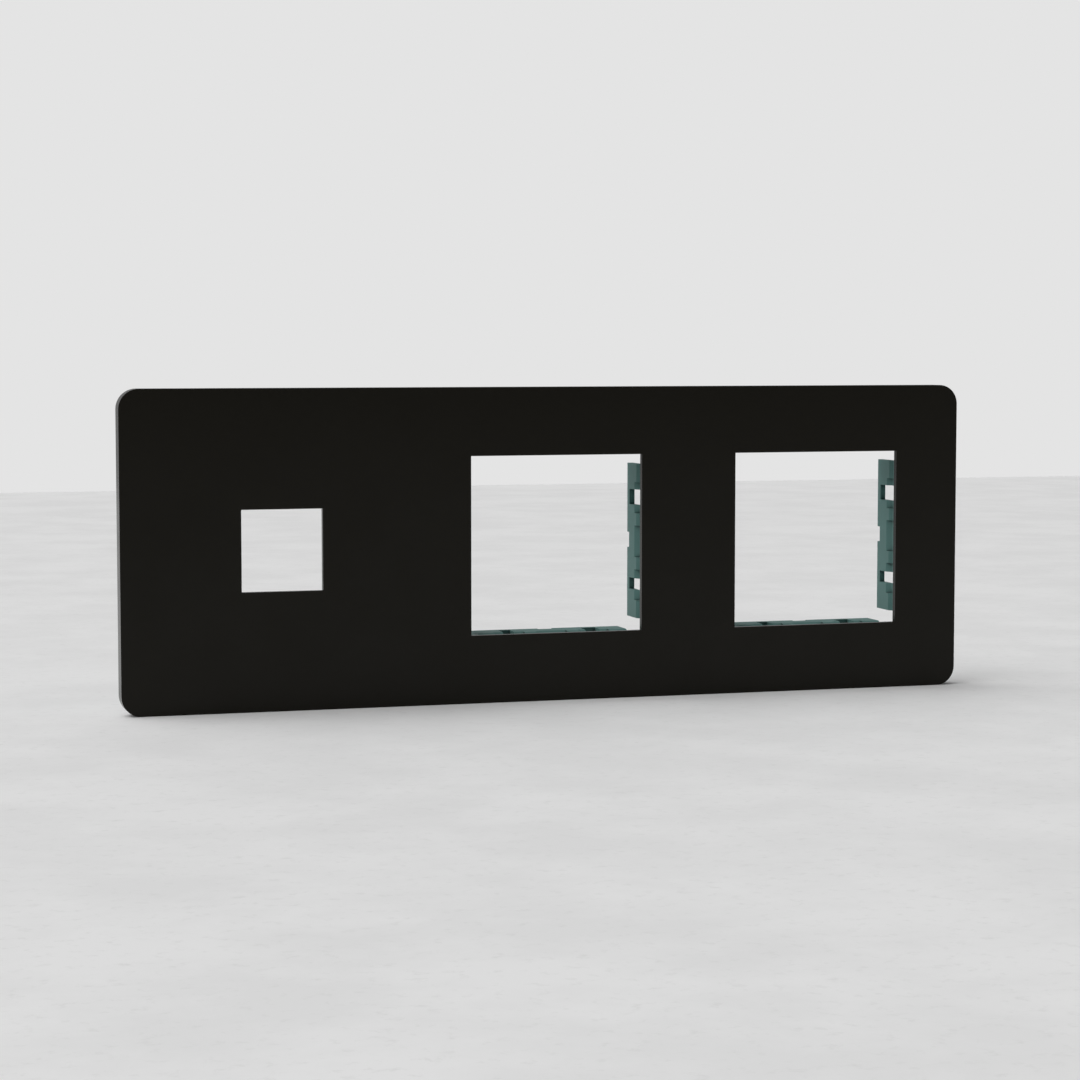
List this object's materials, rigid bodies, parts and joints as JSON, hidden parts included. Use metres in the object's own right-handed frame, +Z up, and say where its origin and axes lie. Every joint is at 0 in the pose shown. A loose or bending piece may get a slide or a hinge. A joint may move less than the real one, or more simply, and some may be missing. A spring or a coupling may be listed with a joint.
{
  "type": "wall plate cover",
  "caption": "Flat black multi-gang cover plate with square module openings and a small square outlet, clip frames and springy clip walls behind.",
  "frame": {"origin": "bottom centre of the whole cover's box, on the surface that the plate stands on", "axes": "+X to the right as seen from the front, +Y from the visible face towards the wall, +Z up"},
  "size_m": [0.222, 0.0116, 0.08],
  "materials": {
    "face_black": "satin black, smooth, with a clear reflection at grazing angles",
    "clip_teal": "matt grey-teal moulded plastic"
  },
  "bodies": {
    "cover": {"face_plate": "face_black", "gang_1_clip_frame": "clip_teal", "gang_2_clip_frame": "clip_teal", "gang_3_clip_frame": "clip_teal"},
    "gang_1_top_clip": {"gang_1_top_clip": "clip_teal"},
    "gang_1_bottom_clip": {"gang_1_bottom_clip": "clip_teal"},
    "gang_1_left_clip": {"gang_1_left_clip": "clip_teal"},
    "gang_1_right_clip": {"gang_1_right_clip": "clip_teal"},
    "gang_2_top_clip": {"gang_2_top_clip": "clip_teal"},
    "gang_2_bottom_clip": {"gang_2_bottom_clip": "clip_teal"},
    "gang_2_left_clip": {"gang_2_left_clip": "clip_teal"},
    "gang_2_right_clip": {"gang_2_right_clip": "clip_teal"},
    "gang_3_top_clip": {"gang_3_top_clip": "clip_teal"},
    "gang_3_bottom_clip": {"gang_3_bottom_clip": "clip_teal"},
    "gang_3_left_clip": {"gang_3_left_clip": "clip_teal"},
    "gang_3_right_clip": {"gang_3_right_clip": "clip_teal"}
  },
  "joints": [
    {"name": "gang_1_top_flex", "type": "hinge", "parent": "cover", "child": "gang_1_top_clip", "pos_m": [-0.071, -0.00385, 0.06445], "axis": [1, 0, 0], "range_deg": [0, 3], "stiffness_Nm_per_rad": 1},
    {"name": "gang_1_bottom_flex", "type": "hinge", "parent": "cover", "child": "gang_1_bottom_clip", "pos_m": [-0.071, -0.00385, 0.01555], "axis": [-1, 0, 0], "range_deg": [0, 3], "stiffness_Nm_per_rad": 1},
    {"name": "gang_1_left_flex", "type": "hinge", "parent": "cover", "child": "gang_1_left_clip", "pos_m": [-0.09545, -0.00385, 0.04], "axis": [0, 0, 1], "range_deg": [0, 3], "stiffness_Nm_per_rad": 1},
    {"name": "gang_1_right_flex", "type": "hinge", "parent": "cover", "child": "gang_1_right_clip", "pos_m": [-0.04655, -0.00385, 0.04], "axis": [0, 0, -1], "range_deg": [0, 3], "stiffness_Nm_per_rad": 1},
    {"name": "gang_2_top_flex", "type": "hinge", "parent": "cover", "child": "gang_2_top_clip", "pos_m": [0, -0.00385, 0.06445], "axis": [1, 0, 0], "range_deg": [0, 3], "stiffness_Nm_per_rad": 1},
    {"name": "gang_2_bottom_flex", "type": "hinge", "parent": "cover", "child": "gang_2_bottom_clip", "pos_m": [0, -0.00385, 0.01555], "axis": [-1, 0, 0], "range_deg": [0, 3], "stiffness_Nm_per_rad": 1},
    {"name": "gang_2_left_flex", "type": "hinge", "parent": "cover", "child": "gang_2_left_clip", "pos_m": [-0.02445, -0.00385, 0.04], "axis": [0, 0, 1], "range_deg": [0, 3], "stiffness_Nm_per_rad": 1},
    {"name": "gang_2_right_flex", "type": "hinge", "parent": "cover", "child": "gang_2_right_clip", "pos_m": [0.02445, -0.00385, 0.04], "axis": [0, 0, -1], "range_deg": [0, 3], "stiffness_Nm_per_rad": 1},
    {"name": "gang_3_top_flex", "type": "hinge", "parent": "cover", "child": "gang_3_top_clip", "pos_m": [0.071, -0.00385, 0.06445], "axis": [1, 0, 0], "range_deg": [0, 3], "stiffness_Nm_per_rad": 1},
    {"name": "gang_3_bottom_flex", "type": "hinge", "parent": "cover", "child": "gang_3_bottom_clip", "pos_m": [0.071, -0.00385, 0.01555], "axis": [-1, 0, 0], "range_deg": [0, 3], "stiffness_Nm_per_rad": 1},
    {"name": "gang_3_left_flex", "type": "hinge", "parent": "cover", "child": "gang_3_left_clip", "pos_m": [0.04655, -0.00385, 0.04], "axis": [0, 0, 1], "range_deg": [0, 3], "stiffness_Nm_per_rad": 1},
    {"name": "gang_3_right_flex", "type": "hinge", "parent": "cover", "child": "gang_3_right_clip", "pos_m": [0.09545, -0.00385, 0.04], "axis": [0, 0, -1], "range_deg": [0, 3], "stiffness_Nm_per_rad": 1}
  ]
}
